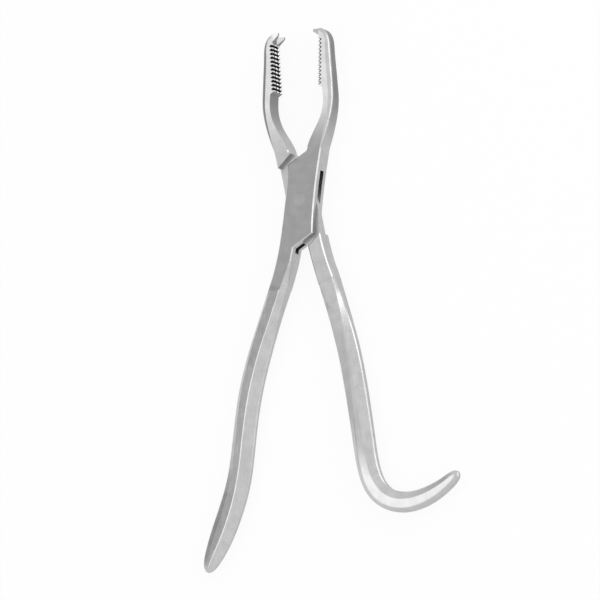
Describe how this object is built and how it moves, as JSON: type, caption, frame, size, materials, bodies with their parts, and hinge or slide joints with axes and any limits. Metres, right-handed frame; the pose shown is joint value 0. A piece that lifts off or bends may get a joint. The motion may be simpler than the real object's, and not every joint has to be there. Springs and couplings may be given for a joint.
{
  "type": "bone holding forceps",
  "caption": "Bone holding forceps with a box lock: serrated jaws with teeth that mesh at the tips, a plain handle and a handle that ends in a hook.",
  "frame": {"origin": "on the pivot axis, on the flat back face of the box lock, which rests on the table", "axes": "+Z along the pivot, out of the front face; +Y from the pivot towards the jaws, along the centre line of the half with the box; +X towards the hooked handle"},
  "size_m": [0.1706, 0.3229, 0.012],
  "materials": {
    "box_half_steel": "satin stainless steel, brushed on the flat of the lock",
    "tongue_half_steel": "satin stainless steel",
    "pivot_pin_steel": "stainless rivet ground flush with the lock"
  },
  "bodies": {
    "box_half": {"box_half": "box_half_steel", "pivot_pin": "pivot_pin_steel"},
    "tongue_half": {"tongue_half": "tongue_half_steel"}
  },
  "joints": [
    {"name": "pivot", "type": "hinge", "parent": "box_half", "child": "tongue_half", "pos_m": [0, 0, 0.006], "axis": [0, 0, 1], "range_deg": [-12, 24]}
  ]
}
